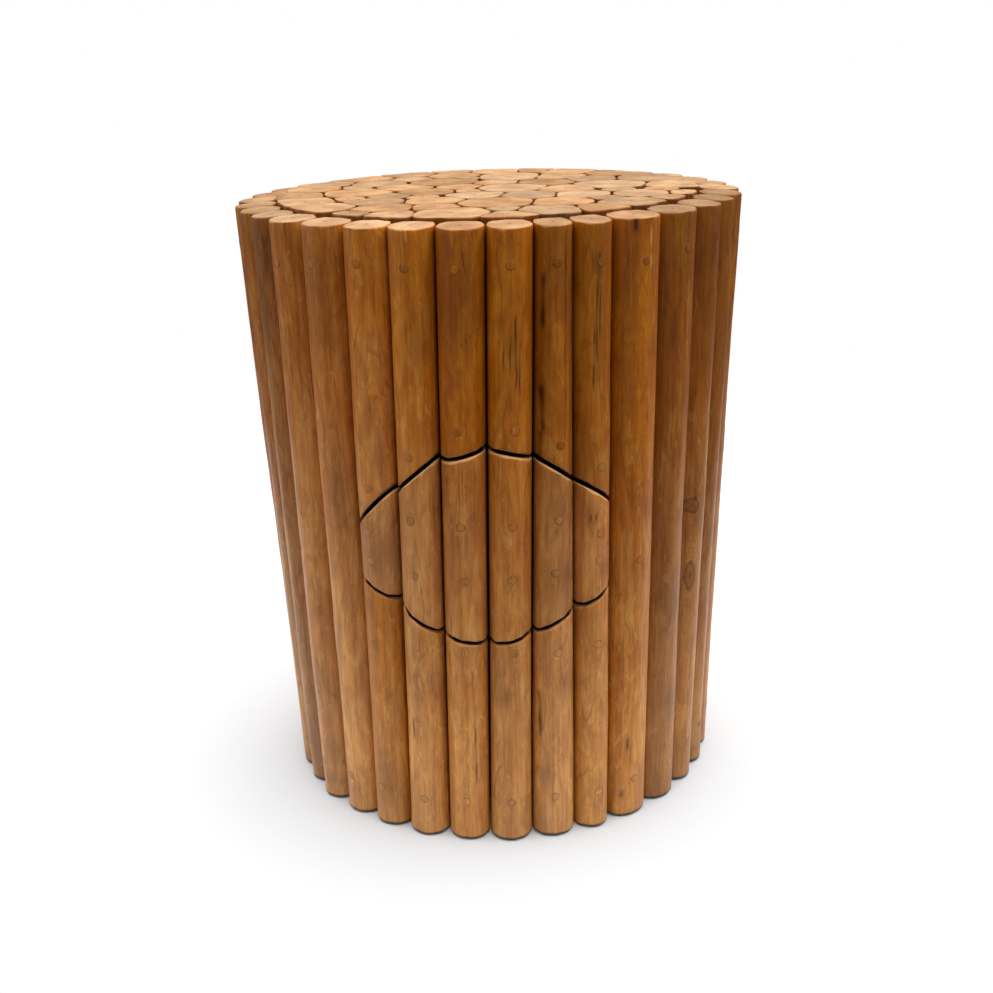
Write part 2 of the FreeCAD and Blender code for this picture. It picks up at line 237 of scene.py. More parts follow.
def polar_outline(points, count):
    """Centre of a level section, and its radius at even turns from the outward side."""
    centre = points.mean(axis=0)
    turns = spread_turns(count)
    for attempt in range(centring_rounds):
        out = centre / np.linalg.norm(centre)
        side = np.array((-out[1], out[0]))
        offset = points - centre
        angles = np.arctan2(offset @ side, offset @ out)
        order = np.argsort(angles)
        reach = np.linalg.norm(offset, axis=1)
        radii = np.interp(turns, angles[order], reach[order], period=2 * math.pi)
        ring = centre + np.outer(radii * np.cos(turns), out) + np.outer(radii * np.sin(turns), side)
        following = np.roll(ring, -1, axis=0)
        cross = ring[:, 0] * following[:, 1] - following[:, 0] * ring[:, 1]
        shift = ((ring + following) * cross[:, None]).sum(axis=0) / (3 * cross.sum())
        if attempt < centring_rounds - 1:
            centre = shift
    return centre, radii


class Branch:
    """A straightish branch: centre line and radius all round as smooth functions of height."""

    def __init__(self, sections, count):
        self.turns = spread_turns(count)
        heights = np.array([height for height, points in sections])
        outlines = [polar_outline(points, count) for height, points in sections]
        degree = min(fit_degree, len(sections) - 1)
        self.centre_fit = np.polyfit(heights, np.array([o[0] for o in outlines]), degree)
        self.radius_fit = np.polyfit(heights, np.array([o[1] for o in outlines]), degree)

    def evaluate(self, fit, heights):
        value = np.zeros_like(heights)
        for coefficient in fit:
            value = value * heights + coefficient
        return value

    def centre(self, heights):
        x = self.evaluate(self.centre_fit[:, 0:1], heights)
        y = self.evaluate(self.centre_fit[:, 1:2], heights)
        return np.stack((x, y), axis=-1)

    def radius(self, heights):
        return self.evaluate(self.radius_fit, heights)

    def place(self, radii, heights):
        """World points at the branch's turns, from radii and heights."""
        centre = self.centre(heights)
        out = centre / np.linalg.norm(centre, axis=1)[:, None]
        side = np.stack((-out[:, 1], out[:, 0]), axis=-1)
        outwards = (radii * np.cos(self.turns))[:, None]
        sideways = (radii * np.sin(self.turns))[:, None]
        return np.column_stack((centre + out * outwards + side * sideways, heights))


def cut_line(name, branch, from_above):
    """Height of a sawn end as a smooth function of a point's place across the branch."""
    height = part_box(name)[1 if from_above else 0].z
    triangles = node_triangles(name)
    tree = BVHTree.FromPolygons(
        [Vector(p) for p in triangles.reshape(-1, 3)],
        [(3 * k, 3 * k + 1, 3 * k + 2) for k in range(len(triangles))])
    centre = branch.centre(np.array([height]))[0]
    out = centre / np.linalg.norm(centre)
    side = np.array((-out[1], out[0]))
    half_width = np.interp(math.pi / 2, branch.turns, branch.radius(np.full_like(branch.turns, height)))
    towards = -1 if from_above else 1
    across = []
    heights = []
    for share in cut_ray_shares:
        spot = centre + side * half_width * share - out * half_width * cut_ray_inset
        start = Vector((spot[0], spot[1], height - towards * cut_ray_start))
        hit = tree.ray_cast(start, Vector((0, 0, towards)))
        if hit[0] is not None:
            across.append(half_width * share)
            heights.append(hit[0].z)
    fit = np.polyfit(across, heights, 2)
    return lambda points: np.polyval(fit, (points - centre) @ side)


def level_end(height):
    return lambda points: np.full(len(points), height)


def leaning_end(branch, height):
    """A top sawn square to the branch's lean, so that it rises inwards from its outer edge."""
    front = np.interp(0.0, branch.turns, branch.radius(np.full_like(branch.turns, height)))
    reach = np.linalg.norm(branch.centre(np.array([height]))) + front
    return lambda points: height + end_slope * (reach - np.linalg.norm(points, axis=1))


def wander(turns, share=1.0):
    """How the width of a hand-sanded edge varies round a branch."""
    width = np.ones_like(turns)
    for waves, amount in edge_waves:
        width += share * amount * np.sin(waves * turns + rng.uniform(0, 2 * math.pi))
    return width


def branch_piece(
        branch, low, high, low_round, high_round, step, marks,
        low_sawn=0.0, high_sawn=0.0, foot_shade=0.0, arris_highlight=0.0):
    """Mesh of a piece of branch between two ends, with softened arrises and its own coordinates."""
    turns = branch.turns
    count = len(turns)
    low_round = low_round * wander(turns, calm_edge_share if foot_shade else 1.0)
    high_round = high_round * wander(turns)
    low_power = sawn_edge_power if low_sawn else sanded_edge_power
    high_power = sawn_edge_power if high_sawn else sanded_edge_power
    rings = []

    def end_heights(end, rounding, share):
        heights = end(branch.centre(np.full(count, stave_top / 2)))
        for attempt in range(end_rounds):
            radii = (branch.radius(heights) - rounding) * share
            heights = end(branch.place(radii, heights)[:, :2])
        return radii, heights

    def side_ring(heights, inset, end_face, shade=0.0, edge_highlight=0.0):
        rings.append((branch.radius(heights) - inset, heights, end_face, 1.0 - end_face, shade, edge_highlight))

    def cap_ring(end, rounding, share, shade):
        radii, heights = end_heights(end, rounding, share)
        rings.append((radii, heights, 1.0, 0.0, shade, 0.0))

    def kerf_shade(sawn, share):
        return sawn * min(1.0, kerf_rim_shade + (1 - share) * kerf_shading)

    bottom = end_heights(low, 0.0, 1.0)[1]
    top = end_heights(high, 0.0, 1.0)[1]
    cap_shares = np.linspace(0, 1, cap_rings + 1)[1:]
    # sawn ends get painted shade inside the kerf, darkening from the rim inwards; a foot's underside gets
    # the painted shade of the feet
    for share in cap_shares:
        cap_ring(low, low_round, share, max(foot_shade, kerf_shade(low_sawn, share)))
    for turn in np.linspace(90, 0, round_steps + 1)[1:-1]:
        angle = math.radians(turn)
        rise = low_round * (1 - math.sin(angle))
        side_ring(bottom + rise, low_round * (1 - math.cos(angle)), (turn / 90) ** low_power, foot_shade)
    start = bottom + low_round
    # painted shade at the feet: full over the rounding and up to here, fading out over foot_fade above it
    if foot_shade:
        side_ring(start, 0.0, 0.0, foot_shade)
        start = start + foot_fade
    steps = max(2, round(float((top - bottom).mean()) / step))
    for share in np.linspace(0, 1, steps + 1):
        side_ring(start + (top - high_round - start) * share, 0.0, 0.0)
    # the upper rounding, which on the medallion pieces carries a painted highlight, strongest half way round
    # the arris
    for turn in np.linspace(0, 90, round_steps + 1)[1:-1]:
        angle = math.radians(turn)
        drop = high_round * (1 - math.sin(angle))
        side_ring(
            top - drop, high_round * (1 - math.cos(angle)), (turn / 90) ** high_power,
            edge_highlight=arris_highlight * math.sin(2 * angle))
    for share in cap_shares[::-1]:
        cap_ring(high, high_round, share, kerf_shade(high_sawn, share))

    total = len(rings) * count
    rows = []
    for radii, heights, end_face, free, shade, edge_highlight in rings:
        relief, (knot, seam, stain, scratch) = marks.at(radii * np.sin(turns), heights, np.cos(turns) > 0)
        radii = radii + relief * free
        rows.append({
            "points": branch.place(radii, heights),
            "branch_place": np.column_stack((radii * np.cos(turns), radii * np.sin(turns), heights)),
            "end_face": np.full(count, end_face), "sawn_inside": np.full(count, shade),
            "knot": knot, "seam": seam, "stain": stain, "bare_wood": np.maximum(edge_highlight, scratch),
            "turn_share": np.abs(turns) / math.pi})
    for end, ring, shade in ((low, rows[0], max(foot_shade, low_sawn)), (high, rows[-1], high_sawn)):
        middle = ring["points"][:, :2].mean(axis=0)
        height = end(middle[None])[0]
        rows.append({
            "points": [(*middle, height)], "branch_place": [(0, 0, height)], "end_face": [1],
            "sawn_inside": [shade], "knot": [far_knot], "seam": [0], "stain": [0], "bare_wood": [0],
            "turn_share": [0]})
    data = {key: np.concatenate([row[key] for row in rows]) for key in rows[0]}
    data["faces"] = []
    for start in range(0, total - count, count):
        for k in range(count):
            following = start + (k + 1) % count
            data["faces"].append((start + k, following, following + count, start + k + count))
    for k in range(count):
        following = (k + 1) % count
        data["faces"] += (total, following, k), (total + 1, total - count + k, total - count + following)
    return data


class Marks:
    """Knots, seams, stains and scratches of one piece, by millimetres across and up, with their sizes; a
    stain can stand for painted shade.
    """

    def __init__(self, knots=(), seams=(), stains_and_shade=(), scratches=()):
        self.knots = knots
        self.seams = seams
        self.stains_and_shade = stains_and_shade
        self.scratches = scratches

    def trace(self, across, heights, middle, low, high, width, lean):
        """How strong a thin line is, which wanders and leans up the branch and tapers off at its ends."""
        line = middle + seam_wander * np.sin(heights / seam_wander_length + middle)
        line = line + seam_shake * np.sin(heights / seam_shake_length)
        line += sum(lean) * (heights - low) / (high - low)
        inside = np.clip((heights - low) / seam_taper, 0, 1) * np.clip((high - heights) / seam_taper, 0, 1)
        beat = seam_strength + seam_beat * np.sin(heights / seam_beat_length + low)
        return np.exp(-((across - line) / width) ** 2) * inside * beat

    def at(self, across, heights, front):
        """Relief and marks at places across and up the branch, on its outward half only."""
        across = across / MM
        heights = heights / MM
        relief = np.zeros_like(across)
        knot = np.full_like(across, far_knot)
        seam = np.zeros_like(across)
        stain = np.zeros_like(across)
        for middle, height, radius, length in self.knots:
            away = np.hypot((across - middle) / radius, (heights - height) / length)
            knot = np.where(front, np.minimum(knot, away), knot)
            swell = knot_rise * radius * np.exp(-(away / knot_rise_reach) ** 2)
            swell -= knot_dimple * radius * np.exp(-(away / knot_dimple_reach) ** 2)
            relief += np.where(front, swell, 0.0)
        for middle, low, high, width, *lean in self.seams:
            trace = self.trace(across, heights, middle, low, high, width, lean)
            seam = np.where(front, np.maximum(seam, trace), seam)
            relief -= np.where(front, trace * width * seam_depth_share, 0.0)
        for middle, height, half_width, half_length in self.stains_and_shade:
            away = np.hypot((across - middle) / half_width, (heights - height) / half_length)
            stain = np.where(front, np.maximum(stain, np.exp(-away ** 2)), stain)
        scratch = np.zeros_like(across)
        for middle, low, high, width, *lean in self.scratches:
            trace = self.trace(across, heights, middle, low, high, width, lean)
            scratch = np.where(front, np.maximum(scratch, trace), scratch)
        return relief * MM, (knot, seam, stain, scratch)


def joined(parts):
    """Several meshes given as arrays, as one."""
    whole = {key: np.concatenate([p[key] for p in parts]) for key in parts[0] if key != "faces"}
    whole["faces"] = []
    start = 0
    for part in parts:
        whole["faces"] += [tuple(start + v for v in face) for face in part["faces"]]
        start += len(part["points"])
    return whole


def mesh_object(name, data):
    mesh = bpy.data.meshes.new(name)
    mesh.from_pydata([tuple(p) for p in data["points"]], [], data["faces"])
    for key, values in data.items():
        if key in ("points", "faces"):
            continue
        flat = np.ascontiguousarray(values, dtype=np.float32).ravel()
        if values.ndim == 2:
            mesh.attributes.new(key, "FLOAT_VECTOR", "POINT").data.foreach_set("vector", flat)
        else:
            mesh.attributes.new(key, "FLOAT", "POINT").data.foreach_set("value", flat)
    mesh.shade_smooth()
    piece = bpy.data.objects.new(name, mesh)
    bpy.context.scene.collection.objects.link(piece)
    return piece


def feed(tree, node, inputs):
    """Link each input to a socket or to a node's first open output, or set it to a value."""
    for key, value in inputs.items():
        if isinstance(value, bpy.types.Node):
            value = next(socket for socket in value.outputs if socket.enabled)
        if isinstance(value, bpy.types.NodeSocket):
            tree.links.new(value, node.inputs[key])
        else:
            node.inputs[key].default_value = value


def add(tree, kind, inputs=None, **settings):
    """One node with its settings and inputs."""
    node = tree.nodes.new(kind)
    for key, value in settings.items():
        setattr(node, key, value)
    feed(tree, node, inputs or {})
    return node


def linear(hex_colour):
    """Linear RGBA from an sRGB hex value."""
    channels = [int(hex_colour[k:k + 2], 16) / 255 for k in (1, 3, 5)]
    return [c / 12.92 if c <= 0.04045 else ((c + 0.055) / 1.055) ** 2.4 for c in channels] + [1.0]


def new_material(name):
    material = bpy.data.materials.new(name)
    material.use_nodes = True
    tree = material.node_tree
    tree.nodes.clear()
    shader = add(tree, "ShaderNodeBsdfPrincipled")
    add(tree, "ShaderNodeOutputMaterial", {"Surface": shader})
    return material, tree, shader


# Noise in the wood: how wide and how long its marks are in millimetres, their detail and their distortion.
# Fibres and pores are finer on real teak, and are drawn this coarse so that they show.
wood_noise = {
    "fibre": (1.6, 55, 4, 0.0), "streak": (7, 260, 3, 0.0), "mottle": (26, 90, 3, 0.4),
    "figure": (34, 210, 2, 0.6), "blush": (40, 150, 2, 0.3), "fleck": (2.6, 38, 3, 0.7),
    "cloud": (13, 36, 3, 0.7), "pore": (0.9, 16, 2, 0.0), "scratch": (1.3, 22, 2, 0.5),
    "smear": (5, 48, 4, 0.8), "curl": (15, 62, 0, 0.25), "curl_place": (20, 60, 1, 0.0),
    "patch": (10, 27, 3, 1.2),
}
# Noise on sawn ends: how many marks lie in 100 mm, and their detail
end_noise = {"ring_wander": (6, 2.0), "blotch": (4.5, 3.0), "speck": (90, 2.0)}
teak_seed_step = (1.7, 3.1, 5.3)
growth_waves = 75.0
yearly_ring = 2.4 * MM
ring_wander = 6 * MM
pith_edge = (1.8 * MM, 0.8 * MM)


def ramped(tree, *ramps):
    """Product of smooth ramps, each of a socket between two values, from one amount to another."""
    product = None
    for socket, start, stop, first, last in ramps:
        ramp = add(tree, "ShaderNodeMapRange", {
            "Value": socket, "From Min": start, "From Max": stop, "To Min": first, "To Max": last},
            interpolation_type="SMOOTHSTEP")
        if product is not None:
            ramp = add(tree, "ShaderNodeMath", {0: product, 1: ramp}, operation="MULTIPLY")
        product = ramp
    return product


def layered(tree, colour, layers):
    """A colour with others laid over it, each up to a share, as a socket goes from one value to another.

    Where no two values are given, the socket's own value is used."""
    for socket, reach, share, over in layers:
        if reach is None:
            mask = add(tree, "ShaderNodeMath", {0: socket, 1: share}, operation="MULTIPLY")
        else:
            mask = ramped(tree, (socket, *reach, 0.0, share))
        colour = add(tree, "ShaderNodeMix", {0: mask, 6: colour, 7: linear(over)}, data_type="RGBA")
    return colour


def teak(name, glued=False):
    """Peeled, sanded and oiled teak branch: satin, streaked along, ringed round a dark pith on sawn ends.

    A glued plug has the same wood, with a thin dark glue line round its edge."""
    material, tree, shader = new_material(name)
    read = {}
    for key in ("branch_place", "branch_tone", "end_face", "knot", "seam", "stain", "sawn_inside",
                "bare_wood", "plug_rim", "turn_share"):
        kind = "Vector" if key.startswith("branch_") else "Fac"
        read[key] = add(tree, "ShaderNodeAttribute", attribute_name=key).outputs[kind]
    place, end_face = read["branch_place"], read["end_face"]
    tone = add(tree, "ShaderNodeSeparateXYZ", {"Vector": read["branch_tone"]}).outputs
    seed = add(tree, "ShaderNodeVectorMath", {0: teak_seed_step, "Scale": tone["X"]}, operation="SCALE")
    grown = add(tree, "ShaderNodeVectorMath", {0: place, 1: seed}, operation="ADD")
    noise = {}
    for key, (width, length, detail, distortion) in wood_noise.items():
        scale = (1000 / width, 1000 / width, 1000 / length)
        spread = add(tree, "ShaderNodeVectorMath", {0: grown, 1: scale}, operation="MULTIPLY")
        noise[key] = add(tree, "ShaderNodeTexNoise", {
            "Vector": spread, "Scale": 1.0, "Detail": detail, "Roughness": 0.6,
            "Distortion": distortion})
    for key, (count, detail) in end_noise.items():
        noise[key] = add(tree, "ShaderNodeTexNoise", {
            "Vector": grown, "Scale": count / (100 * MM), "Detail": detail})

    # growth lines where the round of the branch was sanded through its yearly layers, bent near knots
    bend = ramped(tree, (read["knot"], 0.0, 3.0, 0.5, 0.0))
    bent = add(tree, "ShaderNodeMath", {0: noise["figure"], 1: bend}, operation="ADD")
    waves = add(tree, "ShaderNodeMath", {0: bent, 1: growth_waves}, operation="MULTIPLY")
    waves = add(tree, "ShaderNodeMath", {0: waves}, operation="SINE")
    lines = add(tree, "ShaderNodeMath", {0: noise["fibre"], 1: 1.2, 2: waves}, operation="MULTIPLY_ADD")

    # curls of growth lines, where sanding has cut through a bump of the branch
    level = add(tree, "ShaderNodeMath", {0: noise["curl"], 1: 0.5}, operation="SUBTRACT")
    level = add(tree, "ShaderNodeMath", {0: level}, operation="ABSOLUTE")
    curl = ramped(tree, (level, 0.026, 0.004, 0.0, 1.0), (noise["curl_place"], 0.5, 0.62, 0.0, 1.0))

    # ragged knots with a dark outline, and the shade in the grooves between branches
    near = add(tree, "ShaderNodeMath", {0: read["knot"], 1: 0.45}, operation="SUBTRACT")
    ragged = add(tree, "ShaderNodeMath", {0: noise["cloud"], 1: 0.9, 2: near}, operation="MULTIPLY_ADD")
    outline = ramped(tree, (ragged, 1.2, 1.0, 0.0, 1.0), (ragged, 0.6, 0.95, 0.0, 1.0))
    side = add(tree, "ShaderNodeMath", {0: 1.0, 1: end_face}, operation="SUBTRACT")
    groove_shade = ramped(tree, (read["turn_share"], 0.42, 0.56, 0.0, 1.0))
    groove_shade = add(tree, "ShaderNodeMath", {0: groove_shade, 1: side}, operation="MULTIPLY")
    long_grain = layered(tree, linear("#b0641f"), (
        (noise["streak"], (0.3, 0.72), 1.0, "#cc8032"),
        (noise["mottle"], (0.45, 0.8), 0.5, "#de9f4d"), (noise["mottle"], (0.48, 0.25), 0.45, "#8f4c1c"),
        (noise["blush"], (0.5, 0.72), 0.34, "#a06c42"),
        (noise["cloud"], (0.48, 0.72), 0.34, "#dfa656"), (noise["cloud"], (0.5, 0.28), 0.38, "#8f521d"),
        (noise["smear"], (0.56, 0.74), 0.48, "#75451c"),
        (noise["fleck"], (0.54, 0.76), 0.5, "#8a4c1a"), (noise["fleck"], (0.42, 0.22), 0.45, "#e2a85e"),
        (noise["patch"], (0.58, 0.63), 0.3, "#80491b"), (noise["patch"], (0.38, 0.34), 0.3, "#e0aa60"),
        (curl, None, 0.32, "#5d3210"), (lines, (0.6, 1.6), 0.2, "#8a4a17"),
        (noise["fibre"], (0.45, 0.75), 0.26, "#e0a459"), (noise["scratch"], (0.68, 0.75), 0.4, "#ecc384"),
        (noise["pore"], (0.66, 0.74), 0.45, "#66360f"), (read["stain"], None, 0.4, "#6b4022"),
        (ragged, (1.1, 0.6), 0.4, "#854d22"), (outline, None, 0.5, "#4a250a"),
        (ragged, (0.4, 0.1), 0.55, "#331806"),
        (read["seam"], None, 0.9, "#241006"), (groove_shade, None, 0.4, "#55260a")))

    # painted light and shade, partly also the wood's own colour: richer, redder and darker towards the top,
    # paler and yellower lower down, with a darker foot and head
    rise = add(tree, "ShaderNodeSeparateXYZ", {"Vector": place}).outputs["Z"]
    lightness = ramped(
        tree, (rise, 0.0, 0.5, 1.12, 1.0), (rise, 0.0, 0.08, 0.76, 1.0), (rise, 0.4, 0.5, 1.0, 0.87))
    long_grain = add(tree, "ShaderNodeHueSaturation", {
        "Color": long_grain, "Hue": ramped(tree, (rise, 0.0, 0.5, 0.507, 0.495)),
        "Saturation": ramped(tree, (rise, 0.2, 0.5, 0.97, 1.06)), "Value": lightness})

    # sawn ends: rings round a dark pith, blotches and open pores
    flat = add(tree, "ShaderNodeVectorMath", {0: place, 1: (1.0, 1.0, 0.0)}, operation="MULTIPLY")
    distance = add(tree, "ShaderNodeVectorMath", {0: flat}, operation="LENGTH")
    warped = add(tree, "ShaderNodeMath", {
        0: noise["ring_wander"], 1: ring_wander, 2: distance}, operation="MULTIPLY_ADD")
    turns = add(tree, "ShaderNodeMath", {0: warped, 1: 2 * math.pi / yearly_ring}, operation="MULTIPLY")
    rings = add(tree, "ShaderNodeMath", {0: turns}, operation="SINE")
    end_grain = layered(tree, linear("#a27c5a"), (
        (noise["blotch"], (0.3, 0.7), 1.0, "#c09a71"), (rings, (0.2, 1.0), 0.22, "#7f5529"),
        (noise["speck"], (0.55, 0.72), 0.3, "#77502a"), (distance, pith_edge, 0.8, "#5b3a1d")))

    colour = add(tree, "ShaderNodeMix", {0: end_face, 6: long_grain, 7: end_grain}, data_type="RGBA")
    # scratches and the painted highlight on the medallion's upper arris, then painted shade in the kerfs, at
    # the feet and on the slice walls
    layers = [(read["bare_wood"], None, 0.75, "#efbe7c"), (read["sawn_inside"], None, 0.95, "#1d0e06")]
    if glued:
        glue = ramped(tree, (read["plug_rim"], 0.83, 0.93, 0.0, 1.0), (noise["mottle"], 0.3, 0.6, 0.45, 0.9))
        layers.append((glue, None, 1.0, "#4a2810"))
    # the branch's tone: its own, and on the side branches partly painted shade
    tone_lightness = add(tree, "ShaderNodeMath", {0: tone["Y"], 1: 0.5, 2: 1.0}, operation="MULTIPLY_ADD")
    colour = add(tree, "ShaderNodeHueSaturation", {
        "Color": layered(tree, colour, layers), "Value": tone_lightness,
        "Saturation": ramped(tree, (tone["Z"], -1.0, 1.0, 0.88, 1.14)),
        "Hue": ramped(tree, (tone["Z"], -1.0, 1.0, 0.506, 0.494))})
    rough = add(tree, "ShaderNodeMath", {0: noise["fibre"], 1: 0.2, 2: 0.38}, operation="MULTIPLY_ADD")
    rough = add(tree, "ShaderNodeMath", {0: end_face, 1: 0.3, 2: rough}, operation="MULTIPLY_ADD")
    height = noise["fibre"]
    for dip in ((lines, 0.6, 1.6, 0.0, -0.35), (noise["pore"], 0.66, 0.74, 0.0, -0.8)):
        height = add(tree, "ShaderNodeMath", {0: height, 1: ramped(tree, dip)}, operation="ADD")
    bump = add(tree, "ShaderNodeBump", {"Height": height, "Strength": 0.55, "Distance": 0.25 * MM})
    feed(tree, shader, {
        "Base Color": colour, "Roughness": rough, "Normal": bump, "IOR": 1.5,
        "Specular IOR Level": ramped(tree, (end_face, 0.0, 1.0, 0.45, 0.15))})
    return material


def plain_wood(name, dark, light, width_mm, length_mm, roughness):
    """Sawn board: streaked along one way, dull."""
    material, tree, shader = new_material(name)
    spot = add(tree, "ShaderNodeTexCoord").outputs["Object"]
    vector = add(tree, "ShaderNodeVectorMath", {
        0: spot, 1: (1000 / width_mm, 1000 / length_mm, 1000 / width_mm)}, operation="MULTIPLY")
    noise = add(tree, "ShaderNodeTexNoise", {
        "Vector": vector, "Scale": 1.0, "Detail": 5.0, "Roughness": 0.65})
    ramp = add(tree, "ShaderNodeMix", {
        0: noise, 6: linear(dark), 7: linear(light)}, data_type="RGBA")
    bump = add(tree, "ShaderNodeBump", {
        "Height": noise, "Strength": 0.4, "Distance": 0.4 * MM})
    feed(tree, shader, {"Base Color": ramp, "Normal": bump, "Roughness": roughness})
    return material


def zinc_steel():
    """Zinc-plated screw steel: grey, faintly mottled."""
    material, tree, shader = new_material("zinc_plated_steel")
    spot = add(tree, "ShaderNodeTexCoord").outputs["Object"]
    noise = add(tree, "ShaderNodeTexNoise", {"Vector": spot, "Scale": 7 / (10 * MM), "Detail": 3.0})
    ramp = add(tree, "ShaderNodeMix", {
        0: noise, 6: linear("#8d8f92"), 7: linear("#b9babb")}, data_type="RGBA")
    feed(tree, shader, {"Base Color": ramp, "Metallic": 1.0, "Roughness": 0.38})
    return material


floor_radius = 1.1
floor_front = 0.55
floor_fade_share = 0.6
floor_sides = 192
paper_mottle = 25 * MM


def floor_paper(middle, radius):
    """Matt white studio paper, which thins out into the white backdrop at its edge."""
    material, tree, shader = new_material("matt_studio_paper")
    spot = add(tree, "ShaderNodeTexCoord").outputs["Object"]
    noise = add(tree, "ShaderNodeTexNoise", {"Vector": spot, "Scale": 1 / paper_mottle, "Detail": 2.0})
    seen = add(tree, "ShaderNodeLightPath").outputs["Is Camera Ray"]
    bright = add(tree, "ShaderNodeMix", {
        0: noise, 6: linear("#f8f8f8"), 7: linear("#fafafa")}, data_type="RGBA")
    shown = add(tree, "ShaderNodeMix", {
        0: seen, 6: bright, 7: linear("#d4d7da")}, data_type="RGBA")
    feed(tree, shader, {"Base Color": shown, "Roughness": 0.8})
    away = add(tree, "ShaderNodeVectorMath", {0: spot, 1: middle}, operation="DISTANCE")
    fade = ramped(tree, (away, radius * floor_fade_share, radius, 0.0, 1.0))
    clear = add(tree, "ShaderNodeBsdfTransparent")
    output = next(n for n in tree.nodes if n.bl_idname == "ShaderNodeOutputMaterial")
    feed(tree, output, {"Surface": add(tree, "ShaderNodeMixShader", {0: fade, 1: shader, 2: clear})})
    return material


branch_teak = teak("oiled_teak_branch")
plug_teak = teak("glued_teak_plug", True)
plywood = plain_wood("stained_plywood", "#2a1a0f", "#4a2f1b", 6, 120, 0.75)
softwood = plain_wood("planed_softwood", "#a5804f", "#c9a878", 4, 4, 0.7)
steel = zinc_steel()


# The surface of a branch: how wide and how long its swells and flutes are in millimetres, and between which
# shares of a half turn from the outward side they fade out, first those that stand out, then those sunk in
surface_waves = {"Swell": (26, 85), "Flute": (6, 120)}
surface_limits = (("MAXIMUM", 0.3, 0.42), ("MINIMUM", 0.34, 0.47))
surface_seed_step = (2.3, 4.1, 7.7)


def new_tree(name, inputs):
    """A geometry tree with its named inputs, and their sockets."""
    tree = bpy.data.node_groups.new(name, "GeometryNodeTree")
    for label, kind in {"Geometry": "Geometry", **inputs, "Material": "Material"}.items():
        tree.interface.new_socket(label, in_out="INPUT", socket_type="NodeSocket" + kind)
    tree.interface.new_socket("Geometry", in_out="OUTPUT", socket_type="NodeSocketGeometry")
    return tree, add(tree, "NodeGroupInput").outputs


def finish_tree(tree, geometry, material):
    """Give the tree's result as real geometry in its material."""
    real = add(tree, "GeometryNodeRealizeInstances", {"Geometry": geometry})
    painted = add(tree, "GeometryNodeSetMaterial", {"Geometry": real, "Material": material})
    add(tree, "NodeGroupOutput", {"Geometry": painted})
    return tree


def surface_tree():
    """Long swells and fine flutes that a peeled branch keeps after sanding."""
    tree, given = new_tree("branch_surface", {"Swell": "Float", "Flute": "Float", "Seed": "Float"})
    stored = {}
    for name, kind in (("branch_place", "FLOAT_VECTOR"), ("turn_share", "FLOAT"), ("end_face", "FLOAT")):
        stored[name] = add(tree, "GeometryNodeInputNamedAttribute", {"Name": name}, data_type=kind)
    seed = add(tree, "ShaderNodeVectorMath", {
        0: surface_seed_step, "Scale": given["Seed"]}, operation="SCALE")
    spot = add(tree, "ShaderNodeVectorMath", {0: stored["branch_place"], 1: seed}, operation="ADD")
    total = 0.0
    for amount, (width, length) in surface_waves.items():
        scale = (1000 / width, 1000 / width, 1000 / length)
        vector = add(tree, "ShaderNodeVectorMath", {0: spot, 1: scale}, operation="MULTIPLY")
        noise = add(tree, "ShaderNodeTexNoise", {"Vector": vector, "Scale": 1.0, "Detail": 2.0})
        level = add(tree, "ShaderNodeMath", {0: noise, 1: 0.5}, operation="SUBTRACT")
        total = add(tree, "ShaderNodeMath", {
            0: level, 1: given[amount], 2: total}, operation="MULTIPLY_ADD")
    move = 0.0
    for limit, start, stop in surface_limits:
        part = add(tree, "ShaderNodeMath", {0: total, 1: 0.0}, operation=limit)
        free = add(tree, "ShaderNodeMapRange", {
            "Value": stored["turn_share"], "From Min": start, "From Max": stop, "To Min": 1.0,
            "To Max": 0.0})
        move = add(tree, "ShaderNodeMath", {
            0: part, 1: free, 2: move}, operation="MULTIPLY_ADD")
    side = add(tree, "ShaderNodeMath", {0: 1.0, 1: stored["end_face"]}, operation="SUBTRACT")
    move = add(tree, "ShaderNodeMath", {0: move, 1: side}, operation="MULTIPLY")
    normal = add(tree, "GeometryNodeInputNormal")
    offset = add(tree, "ShaderNodeVectorMath", {
        0: normal, "Scale": move}, operation="SCALE")
    moved = add(tree, "GeometryNodeSetPosition", {"Geometry": given["Geometry"], "Offset": offset})
    return finish_tree(tree, moved, given["Material"])


def set_inputs(modifier, values):
    for socket in modifier.node_group.interface.items_tree:
        if socket.in_out == "INPUT" and socket.name in values:
            modifier[socket.identifier] = values[socket.name]


def settle(pieces):
    """Turn each piece's evaluated modifiers into its plain mesh."""
    graph = bpy.context.evaluated_depsgraph_get()
    for piece in pieces:
        mesh = bpy.data.meshes.new_from_object(piece.evaluated_get(graph))
        mesh.name = piece.name
        piece.modifiers.clear()
        piece.data = mesh


surface = surface_tree()
pieces = []


def branch_object(node, data, seed=0.0, swell=0.0, flute=0.0):
    piece = mesh_object("branch_" + node, data)
    modifier = piece.modifiers.new("surface", "NODES")
    modifier.node_group = surface
    set_inputs(modifier, {"Swell": swell, "Flute": flute, "Seed": seed, "Material": branch_teak})
    pieces.append((piece, node))


def tone_points(data, tone):
    """Give all points the seed, lightness and redness of their branch, and say which seed was drawn."""
    seed = rng.uniform(0, seed_range)
    data["branch_tone"] = np.tile((seed, *tone), (len(data["points"]), 1))
    return seed


def piece_tone(name):
    drawn = draw(drawn_tone)
    return piece_tones_and_shade.get(name, drawn)


